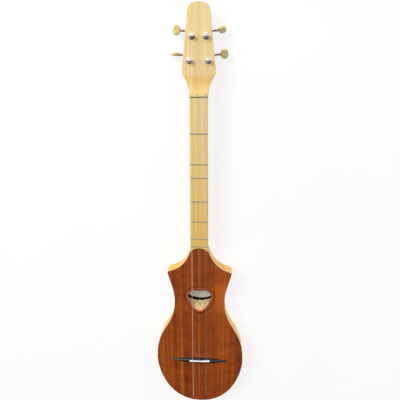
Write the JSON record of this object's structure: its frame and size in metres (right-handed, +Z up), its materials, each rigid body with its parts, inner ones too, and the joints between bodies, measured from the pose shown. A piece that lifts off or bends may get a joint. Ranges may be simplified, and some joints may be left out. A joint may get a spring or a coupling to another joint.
{
  "type": "stick dulcimer",
  "caption": "Long-necked diatonic dulcimer with a carved maple body and neck, mahogany soundboard, thin bridge, metal frets and geared tuning pegs with oval knobs.",
  "frame": {"origin": "on the plane the back rests on, under the middle of the instrument's length and width", "axes": "+Y from the tail to the head, +X from the bass side to the treble side, +Z up through the soundboard"},
  "size_m": [0.2, 0.8706, 0.0452],
  "materials": {
    "maple": "clear satin lacquer over pale straight-grained maple",
    "mahogany": "satin lacquer over striped red-brown mahogany",
    "spruce": "bare quarter-sawn wood",
    "ebony": "dark polished wood",
    "bone": "polished off-white bone",
    "ivory_plastic": "moulded cream plastic",
    "nickel_silver": "polished fret wire",
    "chrome": "bright plated steel",
    "brass": "machined brass",
    "steel_wire": "plain drawn steel wire",
    "bronze_wire": "steel wire close-wound with bronze",
    "paper": "matt off-white paper"
  },
  "bodies": {
    "instrument": {"maple_body_and_neck": "maple", "soundboard": "mahogany", "upper_brace": "spruce", "lower_brace": "spruce", "bridge_patch": "spruce", "label": "paper", "rosette_ring": "ebony", "rosette_dot": "ebony", "nut": "bone", "fret_1": "nickel_silver", "fret_2": "nickel_silver", "fret_3": "nickel_silver", "fret_4": "nickel_silver", "fret_5": "nickel_silver", "fret_6": "nickel_silver", "fret_7": "nickel_silver", "bridge": "ebony", "saddle": "bone", "string_1": "bronze_wire", "string_2": "steel_wire", "string_3": "steel_wire", "string_4": "steel_wire", "bass_upper_tuner_plate": "chrome", "bass_upper_bushing": "chrome", "bass_upper_upper_screw": "chrome", "bass_upper_lower_screw": "chrome", "bass_lower_tuner_plate": "chrome", "bass_lower_bushing": "chrome", "bass_lower_upper_screw": "chrome", "bass_lower_lower_screw": "chrome", "treble_upper_tuner_plate": "chrome", "treble_upper_bushing": "chrome", "treble_upper_upper_screw": "chrome", "treble_upper_lower_screw": "chrome", "treble_lower_tuner_plate": "chrome", "treble_lower_bushing": "chrome", "treble_lower_upper_screw": "chrome", "treble_lower_lower_screw": "chrome"},
    "bass_upper_peg": {"bass_upper_post": "chrome", "bass_upper_wheel": "brass", "string_winding_2": "steel_wire"},
    "bass_upper_knob": {"bass_upper_worm_shaft": "chrome", "bass_upper_button": "ivory_plastic"},
    "bass_lower_peg": {"bass_lower_post": "chrome", "bass_lower_wheel": "brass", "string_winding_1": "bronze_wire"},
    "bass_lower_knob": {"bass_lower_worm_shaft": "chrome", "bass_lower_button": "ivory_plastic"},
    "treble_upper_peg": {"treble_upper_post": "chrome", "treble_upper_wheel": "brass", "string_winding_3": "steel_wire"},
    "treble_upper_knob": {"treble_upper_worm_shaft": "chrome", "treble_upper_button": "ivory_plastic"},
    "treble_lower_peg": {"treble_lower_post": "chrome", "treble_lower_wheel": "brass", "string_winding_4": "steel_wire"},
    "treble_lower_knob": {"treble_lower_worm_shaft": "chrome", "treble_lower_button": "ivory_plastic"}
  },
  "joints": [
    {"name": "bass_upper_knob_turn", "type": "hinge", "parent": "instrument", "child": "bass_upper_knob", "pos_m": [-0.01089, 0.39299, 0.012], "axis": [-0.9934, 0.1143, 0], "continuous": true},
    {"name": "bass_upper_post_turn", "type": "hinge", "parent": "instrument", "child": "bass_upper_peg", "pos_m": [-0.01183, 0.38475, 0.012], "axis": [0, 0, 1], "continuous": true},
    {"name": "bass_lower_knob_turn", "type": "hinge", "parent": "instrument", "child": "bass_lower_knob", "pos_m": [-0.01523, 0.35519, 0.012], "axis": [-0.9934, 0.1143, 0], "continuous": true},
    {"name": "bass_lower_post_turn", "type": "hinge", "parent": "instrument", "child": "bass_lower_peg", "pos_m": [-0.01618, 0.34695, 0.012], "axis": [0, 0, 1], "continuous": true},
    {"name": "treble_upper_knob_turn", "type": "hinge", "parent": "instrument", "child": "treble_upper_knob", "pos_m": [0.01089, 0.39299, 0.012], "axis": [0.9934, 0.1143, 0], "continuous": true},
    {"name": "treble_upper_post_turn", "type": "hinge", "parent": "instrument", "child": "treble_upper_peg", "pos_m": [0.01183, 0.38475, 0.012], "axis": [0, 0, 1], "continuous": true},
    {"name": "treble_lower_knob_turn", "type": "hinge", "parent": "instrument", "child": "treble_lower_knob", "pos_m": [0.01523, 0.35519, 0.012], "axis": [0.9934, 0.1143, 0], "continuous": true},
    {"name": "treble_lower_post_turn", "type": "hinge", "parent": "instrument", "child": "treble_lower_peg", "pos_m": [0.01618, 0.34695, 0.012], "axis": [0, 0, 1], "continuous": true}
  ],
  "couplings": [
    {"joint": "bass_upper_post_turn", "follows": "bass_upper_knob_turn", "ratio": -0.071429},
    {"joint": "bass_lower_post_turn", "follows": "bass_lower_knob_turn", "ratio": -0.071429},
    {"joint": "treble_upper_post_turn", "follows": "treble_upper_knob_turn", "ratio": 0.071429},
    {"joint": "treble_lower_post_turn", "follows": "treble_lower_knob_turn", "ratio": 0.071429}
  ]
}
